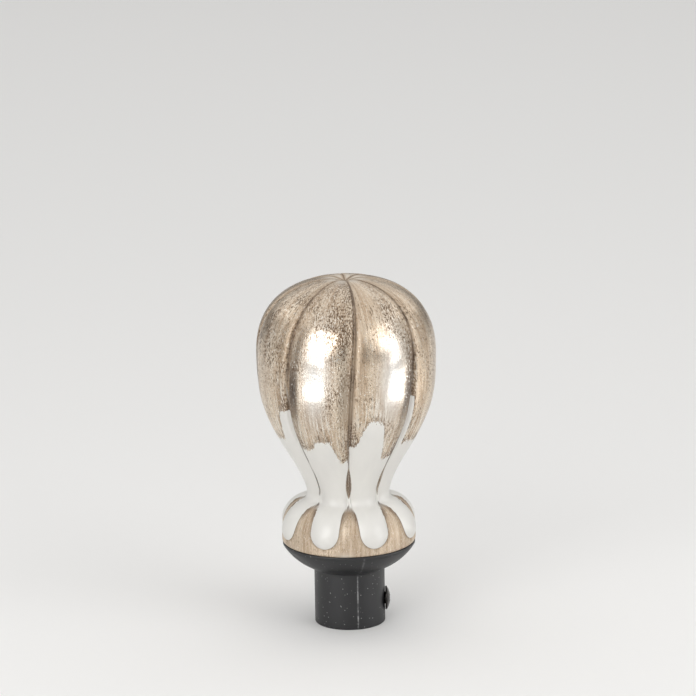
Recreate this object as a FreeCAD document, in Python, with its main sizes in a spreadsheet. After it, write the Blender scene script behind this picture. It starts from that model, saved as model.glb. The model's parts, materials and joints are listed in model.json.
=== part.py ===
import FreeCAD, Part
import math
import os

import Sketcher
from FreeCAD import Placement, Rotation, Vector

# Curtain pole finial: a fluted cast head on a moulded socket for a round pole.
# Millimetres, +Z up along the pole's axis, origin at the centre of the socket's mouth.
SIZES = {
    # Socket for the pole
    "pole_diameter": 19.0,
    "pole_clearance": 0.2,
    "socket_wall": 1.8,
    "bore_depth": 20.0,
    "mouth_lead_in": 0.6,
    "floor_thickness": 2.8,
    "hollow_depth": 4.8,
    "bowl_drop": 1.2,
    "bowl_inset": 0.3,
    "bowl_edge": 0.8,
    "bowl_curve": 19.0,
    "bowl_wall": 2.0,
    "boss_radius": 5.4,
    "spigot_height": 2.2,
    # Cast head, its heights measured from the face that sits on the socket
    "lobe_turn": 0.5,
    "lobe_twist": 8.5,
    "foot_radius": 21.9,
    "foot_edge": 0.9,
    "foot_band": 4.3,
    "waist_height": 14.8,
    "waist_radius": 13.8,
    "waist_flute": 1.3,
    "waist_gap": 2.0,
    "belly_height": 62.8,
    "belly_radius": 29.7,
    "belly_flute": 1.7,
    "belly_gap": 0.8,
    "crown_height": 87.6,
    "crown_flat": 1.6,
    "finger_rise": 1.4,
    "finger_width": 9.8,
    "finger_tip_height": 2.6,
    # Screws
    "fixing_screw_radius": 2.0,
    "fixing_screw_length": 30.0,
    "fixing_screw_point": 4.0,
    "fixing_head_radius": 4.2,
    "fixing_head_height": 2.1,
    "grip_screw_height": 7.3,
    "grip_screw_radius": 2.0,
    "grip_head_radius": 3.9,
    "grip_head_height": 1.6,
    "grip_head_edge": 0.5,
    "grip_head_stand_off": 0.1,
    "grip_tip_setback": 0.1,
    "screw_clearance": 0.05,
    "seat_clearance": 0.1,
}

LOBES = 8
BELOW_BELLY_BANDS = 6
ABOVE_BELLY_BANDS = 7
FINGER_BANDS = 7
# Shares of a finger's height that it widens over and that its rounded tip takes,
# and what is left of its width and rise where it runs out on the foot.
FINGER_SPREAD_SHARE = 0.5
FINGER_TIP_SHARE = 0.42
FINGER_TIP_BLUNT = 0.06
# Shape of the bulb: how late it draws in to the waist, and how full its shoulder is.
WAIST_DRAW = 1.42
SHOULDER_FULLNESS = 2.36


class Measure:
    """A length as an expression for the document and as its present value."""

    def __init__(self, text, value):
        self.text = text
        self.value = value

    @staticmethod
    def of(other):
        if isinstance(other, Measure):
            return other
        return Measure("%.9g" % other, float(other))

    def __add__(self, other):
        other = Measure.of(other)
        return Measure("(%s + %s)" % (self.text, other.text), self.value + other.value)

    def __sub__(self, other):
        other = Measure.of(other)
        return Measure("(%s - %s)" % (self.text, other.text), self.value - other.value)

    def __mul__(self, other):
        other = Measure.of(other)
        return Measure("(%s * %s)" % (self.text, other.text), self.value * other.value)

    def __truediv__(self, other):
        other = Measure.of(other)
        return Measure("(%s / %s)" % (self.text, other.text), self.value / other.value)

    def root(self):
        return Measure("sqrt(%s)" % self.text, math.sqrt(self.value))


def make_sheet(doc):
    """Put every driving dimension in a cell with its own alias."""
    sheet = doc.addObject("Spreadsheet::Sheet", "Sizes")
    for row, (name, number) in enumerate(SIZES.items(), start=1):
        sheet.set("A%d" % row, name)
        sheet.set("B%d" % row, str(number))
        sheet.setAlias("B%d" % row, name)
    doc.recompute()
    return {name: Measure("Sizes." + name, float(number)) for name, number in SIZES.items()}


def make_body(doc, name):
    body = doc.addObject("PartDesign::Body", name)
    body.Label = name
    return body


def origin_feature(body, role):
    return next(feature for feature in body.Origin.OriginFeatures if feature.Role == role)


def new_sketch(body, name, plane):
    sketch = body.newObject("Sketcher::SketchObject", name)
    sketch.AttachmentSupport = [(origin_feature(body, plane), "")]
    sketch.MapMode = "FlatFace"
    return sketch


def hold(sketch, fixed, driven):
    """Add the sketch's constraints, and tie each driven one to its expression."""
    sketch.addConstraint(fixed)
    indices = sketch.addConstraint([Sketcher.Constraint(*parts, measure.value) for parts, measure in driven])
    for index, (_, measure) in zip(indices, driven):
        sketch.setExpression("Constraints[%d]" % index, measure.text)


def fix_point(fixed, driven, geometry, end, across, up):
    """Hold a sketch point at its two distances from the origin, or on an axis where one is zero."""
    for kind, axis, distance in (("DistanceX", -2, across), ("DistanceY", -1, up)):
        if distance.value == 0:
            fixed.append(Sketcher.Constraint("PointOnObject", geometry, end, axis))
        else:
            driven.append(((kind, -1, 1, geometry, end), distance))


def arc_middle(start, end, radius, turn):
    """Middle of the shorter arc from start to end; turn is 1 anticlockwise, -1 clockwise."""
    chord = end - start
    half = chord.Length / 2
    rise = radius - math.sqrt(max(radius * radius - half * half, 0))
    side = Vector(chord.y, -chord.x, 0).normalize() * turn
    return start + chord * 0.5 + side * rise


def draw_outline(sketch, corners):
    """Closed outline. A corner is (across, up), or (across, up, radius, turn) if an arc leaves it."""
    pieces = []
    for corner, following in zip(corners, corners[1:] + corners[:1]):
        start = Vector(corner[0].value, corner[1].value, 0)
        end = Vector(following[0].value, following[1].value, 0)
        if len(corner) == 2:
            pieces.append((sketch.addGeometry(Part.LineSegment(start, end), False), 1, 2))
            continue
        radius, turn = corner[2], corner[3]
        middle = arc_middle(start, end, radius.value, turn)
        if turn > 0:
            pieces.append((sketch.addGeometry(Part.Arc(start, middle, end), False), 1, 2))
        else:
            pieces.append((sketch.addGeometry(Part.Arc(end, middle, start), False), 2, 1))
    fixed = []
    driven = []
    for (here, _, last), (after, first, _) in zip(pieces, pieces[1:] + pieces[:1]):
        fixed.append(Sketcher.Constraint("Coincident", here, last, after, first))
    for (geometry, first, _), corner in zip(pieces, corners):
        fix_point(fixed, driven, geometry, first, corner[0], corner[1])
        if len(corner) > 2:
            driven.append((("Radius", geometry), corner[2]))
    hold(sketch, fixed, driven)


def revolve(body, kind, name, corners, axis="V_Axis"):
    """Turn an outline in the XZ plane all the way round one of its sketch's axes."""
    sketch = new_sketch(body, name + "_outline", "XZ_Plane")
    draw_outline(sketch, corners)
    feature = body.newObject(kind, name)
    feature.Profile = sketch
    feature.ReferenceAxis = (sketch, [axis])
    feature.Angle = 360.0
    body.Document.recompute()
    return feature


def draw_rosette(sketch, crest, base, half_width):
    """A ring of lobe arcs that stand on a circle of the base radius, each half_width to either side."""
    flat = (base * base - half_width * half_width).root()
    rise = crest - flat
    lobe_radius = (half_width * half_width + rise * rise) / (rise * 2)
    corners = []
    for lobe in range(LOBES):
        angle = math.pi * (2 * lobe + 1) / LOBES
        cosine, sine = math.cos(angle), math.sin(angle)
        near = (flat * cosine + half_width * sine, flat * sine - half_width * cosine)
        far = (flat * cosine - half_width * sine, flat * sine + half_width * cosine)
        corners += [near, far]
    points = [Vector(across.value, up.value, 0) for across, up in corners]
    fixed = []
    driven = [(("Radius", 0), lobe_radius), (("Radius", 1), base)]
    count = len(corners)
    for index, corner in enumerate(corners):
        start, end = points[index], points[(index + 1) % count]
        radius = base if index % 2 else lobe_radius
        sketch.addGeometry(Part.Arc(start, arc_middle(start, end, radius.value, 1), end), False)
        fixed.append(Sketcher.Constraint("Coincident", index, 2, (index + 1) % count, 1))
        fix_point(fixed, driven, index, 1, *corner)
        if index > 1:
            fixed.append(Sketcher.Constraint("Equal", index % 2, index))
    hold(sketch, fixed, driven)


def add_loft(body, name, sections):
    """Loft smoothly through the rosettes, from the first to the last."""
    loft = body.newObject("PartDesign::AdditiveLoft", name)
    loft.Profile = sections[0]
    loft.Sections = sections[1:]
    loft.Ruled = False
    body.Document.recompute()
    return loft


def seat_height(size):
    """Where the head sits on the socket: above the bore, its floor and the bowl's hollow."""
    return size["bore_depth"] + size["floor_thickness"] + size["hollow_depth"]


def lobe_half_width(base, gap):
    """Half the width of a lobe whose neighbours leave a gap between them at the base radius."""
    return base * math.sin(math.pi / LOBES) - gap / 2


def bulb_stations(size):
    """Height above the seat, crest and base radius and half width of the lobes, from waist to crown."""
    stations = []
    belly = size["belly_height"]
    swell = size["belly_radius"] - size["waist_radius"]
    deepen = size["belly_flute"] - size["waist_flute"]
    close = size["waist_gap"] - size["belly_gap"]
    for band in range(BELOW_BELLY_BANDS):
        drop = 1 - band / BELOW_BELLY_BANDS
        share = (1 + math.cos(math.pi * drop ** WAIST_DRAW)) / 2
        height = belly - (belly - size["waist_height"]) * drop
        crest = size["waist_radius"] + swell * share
        base = crest - (size["waist_flute"] + deepen * share)
        gap = size["waist_gap"] - close * share
        stations.append((height, crest, base, lobe_half_width(base, gap)))
    dome = size["crown_height"] - belly
    # The bands follow the shoulder's curve, so they crowd towards the flat of the crown.
    for band in range(ABOVE_BELLY_BANDS):
        angle = math.pi / 2 * band / ABOVE_BELLY_BANDS
        across = math.cos(angle) ** (2 / SHOULDER_FULLNESS)
        up = math.sin(angle) ** (2 / SHOULDER_FULLNESS)
        crest = size["belly_radius"] * across
        base = crest - size["belly_flute"] * across
        gap = size["belly_gap"] * across
        height = belly + dome * up
        stations.append((height, crest, base, lobe_half_width(base, gap)))
    across = size["crown_flat"] / size["belly_radius"]
    base = size["crown_flat"] - size["belly_flute"] * across
    gap = size["belly_gap"] * across
    stations.append((size["crown_height"], size["crown_flat"], base, lobe_half_width(base, gap)))
    return stations


def foot_curve(size):
    """Radius of the foot's dome, an arc that is upright where it leaves the foot's band."""
    rise = size["waist_height"] - size["foot_band"]
    draw = size["foot_radius"] - (size["waist_radius"] - size["waist_flute"])
    return (draw * draw + rise * rise) / (draw * 2)


def finger_stations(size):
    """The same four measures from below the waist to the tips, where the fingers end on the foot."""
    stations = []
    reach = size["waist_height"] - size["finger_tip_height"]
    curve = foot_curve(size)
    waist_base = size["waist_radius"] - size["waist_flute"]
    waist_half = lobe_half_width(waist_base, size["waist_gap"])
    widen = size["finger_width"] / 2 - waist_half
    raise_up = size["finger_rise"] - size["waist_flute"]
    for band in range(1, FINGER_BANDS + 1):
        drop = math.sin(math.pi / 2 * band / FINGER_BANDS)
        height = size["waist_height"] - reach * drop
        above = height - size["foot_band"]
        base = size["foot_radius"]
        if above.value > 0:
            base = base - curve + (curve * curve - above * above).root()
        spread = math.sin(math.pi / 2 * min(drop / FINGER_SPREAD_SHARE, 1))
        along_tip = max(drop - 1 + FINGER_TIP_SHARE, 0) / FINGER_TIP_SHARE
        rounding = max(math.sqrt(max(1 - along_tip ** 2, 0)), FINGER_TIP_BLUNT)
        half_width = (waist_half + widen * spread) * rounding
        crest = base + (size["waist_flute"] + raise_up * spread) * rounding
        stations.append((height, crest, base, half_width))
    return stations


def rosette_sketches(body, name, stations, size):
    """One sketch a station, turned more and more towards the crown so that the flutes wind a little."""
    sketches = []
    rise = size["crown_height"] - size["waist_height"]
    for number, (height, crest, base, half_width) in enumerate(stations):
        sketch = new_sketch(body, "%s_%d" % (name, number), "XY_Plane")
        climb = (height - size["waist_height"]) / rise
        turn = size["lobe_twist"] * climb * climb if climb.value > 0 else Measure.of(0)
        lift = seat_height(size) + height
        sketch.AttachmentOffset = Placement(Vector(0, 0, lift.value), Rotation(Vector(0, 0, 1), turn.value))
        sketch.setExpression("AttachmentOffset.Base.z", lift.text)
        sketch.setExpression("AttachmentOffset.Rotation.Angle", turn.text)
        draw_rosette(sketch, crest, base, half_width)
        sketches.append(sketch)
    body.Document.recompute()
    return sketches


def build_head(doc, size):
    body = make_body(doc, "finial_head")
    zero = Measure.of(0)
    seat = seat_height(size)
    finger_tip = seat + size["finger_tip_height"]
    bulb = rosette_sketches(body, "bulb_section", bulb_stations(size), size)
    fingers = rosette_sketches(body, "finger_section", finger_stations(size), size)
    add_loft(body, "bulb", bulb)
    add_loft(body, "fingers", [bulb[0]] + fingers)
    revolve(body, "PartDesign::Revolution", "foot", [
        (zero, seat),
        (size["foot_radius"] - size["foot_edge"], seat, size["foot_edge"], 1),
        (size["foot_radius"], seat + size["foot_edge"]),
        (size["foot_radius"], finger_tip),
        (zero, finger_tip),
    ])
    hole = size["fixing_screw_radius"] + size["screw_clearance"]
    recess = size["boss_radius"] + size["seat_clearance"]
    recess_top = seat + size["spigot_height"] + size["seat_clearance"]
    screw_top = size["bore_depth"] + size["fixing_screw_length"]
    before = body.Shape.Volume
    revolve(body, "PartDesign::Groove", "screw_recess", [
        (zero, seat),
        (recess, seat),
        (recess, recess_top),
        (hole, recess_top),
        (hole, screw_top),
        (zero, screw_top + size["screw_clearance"]),
    ])
    if not body.Shape.Volume < before:
        raise ValueError("The recess under the head cut nothing")
    body.Placement = Placement(Vector(0, 0, 0), Rotation(Vector(0, 0, 1), size["lobe_turn"].value))
    body.setExpression("Placement.Rotation.Angle", size["lobe_turn"].text)
    return body


def build_socket(doc, size):
    body = make_body(doc, "pole_socket")
    zero = Measure.of(0)
    bore = size["pole_diameter"] / 2 + size["pole_clearance"]
    outside = bore + size["socket_wall"]
    lead_in = size["mouth_lead_in"]
    seat = seat_height(size)
    floor = size["bore_depth"]
    floor_top = floor + size["floor_thickness"]
    hole = size["fixing_screw_radius"] + size["screw_clearance"]
    sink = size["fixing_head_radius"] + size["screw_clearance"]
    sink_top = floor + size["fixing_head_height"]
    boss_top = seat + size["spigot_height"]
    bowl_radius = size["foot_radius"] - size["bowl_inset"]
    edge_base = seat - size["bowl_edge"]
    inner_rim = bowl_radius - size["bowl_wall"]
    revolve(body, "PartDesign::Revolution", "shell", [
        (bore + lead_in, zero),
        (outside, zero),
        (outside, floor - size["bowl_drop"], size["bowl_curve"], 1),
        (bowl_radius, edge_base),
        (bowl_radius, seat),
        (inner_rim, seat),
        (inner_rim, edge_base, size["bowl_curve"], -1),
        (outside, floor_top),
        (size["boss_radius"], floor_top),
        (size["boss_radius"], boss_top),
        (hole, boss_top),
        (hole, sink_top),
        (sink, floor),
        (bore, floor),
        (bore, lead_in),
    ])
    sketch = new_sketch(body, "grip_hole_outline", "YZ_Plane")
    radius = size["grip_screw_radius"] + size["screw_clearance"]
    height = size["grip_screw_height"]
    sketch.addGeometry(Part.Circle(Vector(0, height.value, 0), Vector(0, 0, 1), radius.value), False)
    on_axis = Sketcher.Constraint("PointOnObject", 0, 3, -2)
    hold(sketch, [on_axis], [(("DistanceY", -1, 1, 0, 3), height), (("Radius", 0), radius)])
    before = body.Shape.Volume
    pocket = body.newObject("PartDesign::Pocket", "grip_hole")
    pocket.Profile = sketch
    pocket.Reversed = True
    pocket.setExpression("Length", outside.text)
    doc.recompute()
    if not body.Shape.Volume < before:
        raise ValueError("The grip screw's hole cut nothing")
    return body


def build_fixing_screw(doc, size):
    body = make_body(doc, "fixing_screw")
    zero = Measure.of(0)
    floor = size["bore_depth"]
    shank = size["fixing_screw_radius"]
    tip = floor + size["fixing_screw_length"]
    revolve(body, "PartDesign::Revolution", "screw", [
        (zero, floor),
        (size["fixing_head_radius"], floor),
        (shank, floor + size["fixing_head_height"]),
        (shank, tip - size["fixing_screw_point"]),
        (zero, tip),
    ])
    return body


def build_grip_screw(doc, size):
    body = make_body(doc, "grip_screw")
    zero = Measure.of(0)
    bore = size["pole_diameter"] / 2 + size["pole_clearance"]
    tip = bore + size["grip_tip_setback"]
    under = bore + size["socket_wall"] + size["grip_head_stand_off"]
    edge = under + size["grip_head_edge"]
    top = under + size["grip_head_height"]
    crown = size["grip_head_height"] - size["grip_head_edge"]
    dome = (size["grip_head_radius"] * size["grip_head_radius"] + crown * crown) / (crown * 2)
    revolve(body, "PartDesign::Revolution", "screw", [
        (tip, zero),
        (top, zero, dome, 1),
        (edge, size["grip_head_radius"]),
        (under, size["grip_head_radius"]),
        (under, size["grip_screw_radius"]),
        (tip, size["grip_screw_radius"]),
    ], axis="H_Axis")
    body.setExpression("Placement.Base.z", size["grip_screw_height"].text)
    doc.recompute()
    return body


def check(doc, bodies):
    """Stop before writing if any object failed or any sub-part isn't one valid solid."""
    for item in doc.Objects:
        if any(state in ("Invalid", "Error") for state in item.State):
            raise ValueError("%s did not build" % item.Label)
    for body in bodies:
        if body.Shape.isNull() or not body.Shape.isValid() or len(body.Shape.Solids) != 1:
            raise ValueError("%s is not one valid solid" % body.Label)


def main():
    doc = FreeCAD.newDocument("CurtainPoleFinial")
    size = make_sheet(doc)
    bodies = [build(doc, size) for build in (build_head, build_socket, build_fixing_screw, build_grip_screw)]
    doc.recompute()
    check(doc, bodies)
    os.makedirs("parts", exist_ok=True)
    for body in bodies:
        body.Shape.exportStep("parts/%s.step" % body.Label)
        print(body.Label, round(body.Shape.Volume, 1), body.Shape.BoundBox)


if __name__ == "__main__":
    main()
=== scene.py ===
import json
import math
from functools import partial

import bmesh
import bpy
import numpy as np
from mathutils import Matrix, Vector, noise


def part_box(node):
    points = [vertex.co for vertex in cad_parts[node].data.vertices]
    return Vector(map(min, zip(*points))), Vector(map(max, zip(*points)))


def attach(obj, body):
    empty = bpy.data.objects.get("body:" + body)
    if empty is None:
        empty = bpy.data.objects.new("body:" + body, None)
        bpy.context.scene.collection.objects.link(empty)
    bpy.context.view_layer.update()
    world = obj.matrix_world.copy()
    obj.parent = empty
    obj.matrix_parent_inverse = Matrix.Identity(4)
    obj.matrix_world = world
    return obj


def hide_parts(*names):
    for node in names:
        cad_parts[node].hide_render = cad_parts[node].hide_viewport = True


# Curtain pole finial: fluted cast head, moulded pole socket and two screws.
# Sizes are in millimetres and turned to metres when a mesh is made.
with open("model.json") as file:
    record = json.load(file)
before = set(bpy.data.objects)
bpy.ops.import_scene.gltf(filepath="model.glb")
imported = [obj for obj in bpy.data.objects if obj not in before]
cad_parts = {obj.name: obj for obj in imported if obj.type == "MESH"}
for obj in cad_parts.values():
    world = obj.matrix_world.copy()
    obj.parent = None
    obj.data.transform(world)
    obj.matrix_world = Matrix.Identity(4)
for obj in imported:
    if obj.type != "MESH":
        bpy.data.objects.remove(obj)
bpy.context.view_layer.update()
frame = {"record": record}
mm = 0.001
headLow, headHigh = (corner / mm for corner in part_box("finial_head"))
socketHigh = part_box("pole_socket")[1] / mm
fixingLow, fixingHigh = (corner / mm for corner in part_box("fixing_screw"))
gripLow, gripHigh = (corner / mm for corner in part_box("grip_screw"))
boreRadius = next(m["dims"]["r_mm"] for m in frame["record"]["mounts"] if m["name"] == "pole_bore")
print("frame loaded, head", [round(v, 2) for v in headHigh - headLow], "mm")


# Shared helpers

def linearHex(code):
    # sRGB hex to the linear colour that a shader socket takes
    parts = [int(code[i:i + 2], 16) / 255 for i in (1, 3, 5)]
    return [c / 12.92 if c <= 0.04045 else ((c + 0.055) / 1.055) ** 2.4 for c in parts] + [1.0]


def addNode(tree, kind, inputs=None, **properties):
    # an input is a constant, a hex colour, or a node or socket to link from
    node = tree.nodes.new("ShaderNode" + kind)
    for key, value in properties.items():
        setattr(node, key, value)
    for key, value in (inputs or {}).items():
        if isinstance(value, bpy.types.Node):
            value = next(end for end in value.outputs if end.enabled)
        if isinstance(value, bpy.types.NodeSocket):
            tree.links.new(value, node.inputs[key])
        else:
            node.inputs[key].default_value = linearHex(value) if isinstance(value, str) else value
    return node


def newMaterial(name):
    # the material, and addNode for its own tree
    material = bpy.data.materials.new(name)
    material.use_nodes = True
    material.node_tree.nodes.clear()
    return material, partial(addNode, material.node_tree)


def smoothStep(low, high, value):
    share = np.clip((value - low) / (high - low), 0, 1)
    return share * share * (3 - 2 * share)


def bell(distance, width):
    return np.exp(-(distance / width) ** 2)


def addPiece(name, points, faces, material, node, attributes=None):
    mesh = bpy.data.meshes.new(name)
    mesh.from_pydata((np.asarray(points) * mm).tolist(), [], faces)
    for key, values in (attributes or {}).items():
        kind = "FLOAT_VECTOR" if np.ndim(values) == 2 else "FLOAT"
        layer = mesh.attributes.new(key, kind, "POINT")
        layer.data.foreach_set("vector" if kind == "FLOAT_VECTOR" else "value", np.ravel(values))
    mesh.polygons.foreach_set("use_smooth", [True] * len(mesh.polygons))
    mesh.materials.append(material)
    mesh.update()
    piece = bpy.data.objects.new(name, mesh)
    bpy.context.scene.collection.objects.link(piece)
    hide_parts(node)
    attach(piece, "root")
    return piece


def ringFaces(rows, columns, loop=False):
    # quads between rows of a turned grid; loop joins the last row to the first
    faces = []
    for row in range(rows if loop else rows - 1):
        for column in range(columns):
            here, after = row * columns + column, row * columns + (column + 1) % columns
            shift = ((row + 1) % rows - row) * columns
            faces.append((here, after, after + shift, here + shift))
    return faces


def filletCorners(corners, steps=5):
    # each corner is (radius, height) or (radius, height, fillet)
    path = []
    for index, corner in enumerate(corners):
        here = np.array(corner[:2], float)
        if len(corner) < 3:
            path.append(here)
            continue
        before = np.array(corners[index - 1][:2], float) - here
        after = np.array(corners[(index + 1) % len(corners)][:2], float) - here
        before, after = before / np.linalg.norm(before), after / np.linalg.norm(after)
        for step in range(steps + 1):
            share = step / steps
            pull = corner[2] * ((1 - share) ** 2 * before + share ** 2 * after)
            path.append(here + pull)
    return path


def arcBetween(start, end, radius, turn, steps):
    # points of the shorter arc, without its ends; turn is 1 anticlockwise
    start, end = np.array(start, float), np.array(end, float)
    chord = end - start
    length = np.linalg.norm(chord)
    side = np.array([chord[1], -chord[0]]) / length * turn
    centre = (start + end) / 2 - side * math.sqrt(radius ** 2 - length ** 2 / 4)
    first = math.atan2(*(start - centre)[::-1])
    sweep = math.remainder(math.atan2(*(end - centre)[::-1]) - first, 2 * math.pi)
    angles = [first + sweep * step / steps for step in range(1, steps)]
    return [(centre[0] + radius * math.cos(a), centre[1] + radius * math.sin(a)) for a in angles]


def cutWith(piece, cutter):
    # take the cutter's volume out of the piece
    modifier = piece.modifiers.new("cut", "BOOLEAN")
    modifier.operation = "DIFFERENCE"
    modifier.solver = "EXACT"
    modifier.object = cutter
    bpy.context.view_layer.update()
    cut = bpy.data.meshes.new_from_object(piece.evaluated_get(bpy.context.evaluated_depsgraph_get()))
    piece.modifiers.clear()
    piece.data = cut
    bpy.data.objects.remove(cutter)


# Finial head

headShape = {
    "lobes": 8,
    "footTurn": math.radians(0.5),  # the crease in front stands a little to the right
    "twist": math.radians(8.5),     # how far the flutes wind from the waist to the crown
    "footRadius": 21.9,
    "footEdge": 0.9,
    "footBand": 4.3,
    "waistHeight": 14.8,            # heights are above the seat
    "waistRadius": 13.8,
    "waistFlute": 1.3,
    "waistGap": 0.9,
    "waistDraw": 1.42,
    "bellyHeight": 62.8,
    "bellyRadius": 29.4,            # flat lobes fill the same outline with a smaller crest
    "bellyFlute": 1.7,
    "bellyGap": 0.8,
    "bellyArch": 0.5,               # the lobes are nearly flat, and dive into a narrow crease
    "creaseDive": 30,
    "archFrom": 26.0,               # round lobes turn into flat ones between these heights
    "archTo": 48.0,
    "shoulderFullness": 2.36,
    "fingerRise": 1.4,
    "fingerWidth": 9.8,
    "fingerTip": 2.6,
    "fingerSpread": 0.5,
    "fingerTipShare": 0.42,
    "waistFillet": 2.8,             # reach of the hollow where the lobes flow into the fingers
    "bridgeLow": 15.7,              # neighbouring fingers run together between these heights
    "bridgeHigh": 17.2,
    "bridgeFrom": (7.0, 12.0),      # the gaps start to close between these heights
    "bridgeSlope": 1.2,             # and end in points below the bridge
    "bridgeRise": 0.8,
    "bridgeBlend": (-2.0, 0.8),     # mm inside a bridge, between which it rises
    "crownDip": 1.0,
    "crownDipReach": 3.2,
    "waviness": 0.12,               # slow unevenness of the hand-finished casting
    "wavinessSize": 7.0,
    "patinaSink": 0.07,             # the brushed coat is wiped thinner than the lacquer
    "patinaEdge": 0.4,              # mm to each side of its edge, over which it thins
    "patinaCrown": 2.0,             # and within this radius of the crown
    "recess": 5.5,                  # underneath, for the socket's boss
    "recessRoom": 0.1,
    "screwHole": 2.05,
    "humpSide": (0.55, 1.7),        # half widths of a hump, between which its edge falls
    "bandHeight": 56.0,             # where the painted dark reflection beside the creases is strongest
    "bandReach": 13.0,
    "bandWidth": (0.0, 0.4, 3.0, 4.8),
    "slitFrom": 17.3,               # the coat fills some creases in a spindle above the bridge
    "slitTo": 30.0,
    "slitLean": 0.7,                # widest below its middle
    "slitSlope": 1.1,               # and blunt where it starts
    "rubHeight": 60.0,              # where the coat is rubbed to bare silver
    "rubReach": (10.0, 15.0),       # degrees and mm
    "speckLow": 0.3,                # share of the specks that is left below that height
    "dripEdge": (1.0, 4.0),         # the coat is speckled dark this near to a crease, in mm
    "dripRise": (-16.0, -4.0),      # and this near to its lower edge
    "dripDense": 1.4,
    "paleEdge": (-4.0, 5.5, 1.4),   # painted highlight on the foot's edge: degrees, reach, height
    "petals": (4.0, 9.0),           # highlights are painted pale on the lobes within these radii of the crown
    "petalEdge": (0.2, 1.0),
    "maskUnder": 5.0,               # mm, underneath all is plain coat, well away from its edges
    "columnsPerLobe": 40,
    "columnCrowd": math.radians(80),    # columns crowd towards the creases
    "rows": {"edge": 6, "band": 9, "fingers": 84, "bulb": 84, "shoulder": 66},
}

# Where the white lacquer was left bare, for each lobe from the one right of the front crease on:
# height of its hump above the seat, place and half width of the hump in degrees from the lobe's
# crest, and how far the brushed coat hangs down to its left and right, all in mm or degrees.
# silver is how strongly a dark reflection is painted into the coat beside the lobe's left and right
# crease, speck how densely its left and right halves are speckled, rub where the bare silver shows,
# in degrees from the crest, and how strongly, and slit the half width of the coat left in the crease to
# its left.
lacquerHumps = [
    {"top": 46.0, "place": -5, "width": 8, "left": 9.0, "right": 14.0, "silver": (0.1, 1.0),
     "speck": (0.0, 0.8), "rub": (5, 1.0), "slit": 1.0},
    {"top": 53.0, "place": -21.5, "width": 2.0, "left": 0.0, "right": 17.0, "silver": (0.1, 0.8),
     "speck": (0.2, 0.5), "rub": (4, 0.2), "slit": 0.7},
    {"top": 42.0, "place": 4, "width": 9, "left": 7.0, "right": 9.0, "silver": (0.7, 0.3),
     "speck": (0.4, 0.9), "rub": (-8, 0.7), "slit": 0.0},
    {"top": 36.5, "place": -6, "width": 7, "left": 3.0, "right": 6.0, "silver": (0.2, 0.9),
     "speck": (0.8, 0.3), "rub": (9, 0.9), "slit": 0.9},
    {"top": 44.5, "place": 2, "width": 8, "left": 11.0, "right": 5.0, "silver": (0.9, 0.2),
     "speck": (0.1, 0.7), "rub": (-6, 0.8), "slit": 0.0},
    {"top": 39.0, "place": 7, "width": 7, "left": 6.0, "right": 3.0, "silver": (0.3, 0.6),
     "speck": (0.7, 0.9), "rub": (5, 0.5), "slit": 0.8},
    {"top": 48.5, "place": 19, "width": 6, "left": 11.0, "right": 2.0, "silver": (0.6, 0.2),
     "speck": (0.9, 0.7), "rub": (3, 0.2), "slit": 0.0},
    {"top": 39.0, "place": 3, "width": 7, "left": 3.5, "right": 7.5, "silver": (1.0, 0.5),
     "speck": (0.8, 1.0), "rub": (-1.5, 1.0), "slit": 0.0},
]


def lobeSection(across, crest, base, half, flat, shape):
    # radius of a ring of lobes standing on a base circle, by the angle from a lobe's crest: round
    # arcs, or where flat is 1 a shallow arch with a steep dive into the crease
    chord = np.sqrt(np.maximum(base ** 2 - half ** 2, 0))
    rise = np.maximum(crest - chord, 1e-6)
    bow = (half ** 2 + rise ** 2) / (2 * rise)
    centre = crest - bow
    arc = centre * np.cos(across) + np.sqrt(np.maximum(bow ** 2 - (centre * np.sin(across)) ** 2, 0))
    edge = np.arcsin(np.clip(half / base, 0, 1))
    aside = np.minimum(np.abs(across) / np.maximum(edge, 1e-6), 1)
    depth = crest - base
    arch = depth * shape["bellyArch"] / shape["bellyFlute"]
    arched = crest - arch * aside ** 2 - (depth - arch) * aside ** shape["creaseDive"]
    return np.where(np.abs(across) < edge, arc + (arched - arc) * flat, base), edge


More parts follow.
